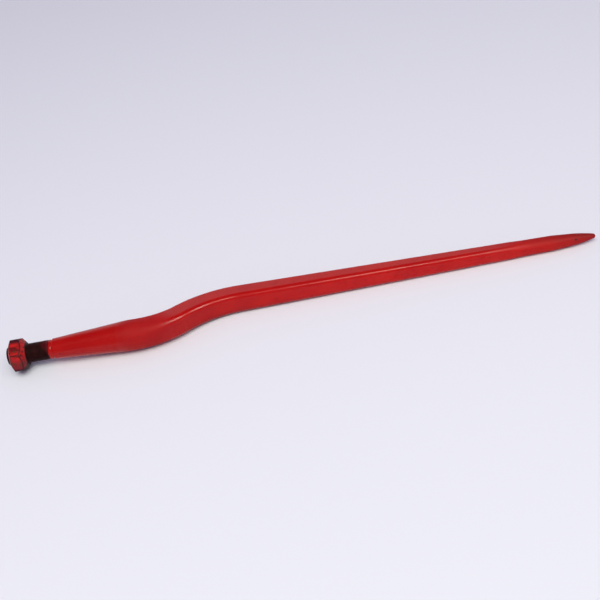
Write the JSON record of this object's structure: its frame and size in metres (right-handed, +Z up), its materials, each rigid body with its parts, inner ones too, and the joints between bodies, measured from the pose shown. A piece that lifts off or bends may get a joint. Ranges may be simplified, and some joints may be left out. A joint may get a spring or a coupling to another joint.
{
  "type": "silage tine",
  "caption": "Forged silage tine with a threaded stub, hexagon nut, seating cone, cranked neck and a tapered square bar that ends in a blunt point.",
  "frame": {"origin": "centre of the threaded stub's free end, on the stub's axis", "axes": "+X along the stub and the bar towards the point, +Y the way the crank leans, +Z up with the tine lying on its side"},
  "size_m": [0.88, 0.0854, 0.053],
  "materials": {
    "painted_forging": "glossy red paint over forged steel, thread left dark and bare",
    "painted_nut": "glossy red paint, chipped at the corners",
    "bare_thread": "dark oiled steel"
  },
  "bodies": {
    "root": {"tine": "painted_forging", "nut": "painted_nut"}
  },
  "joints": []
}
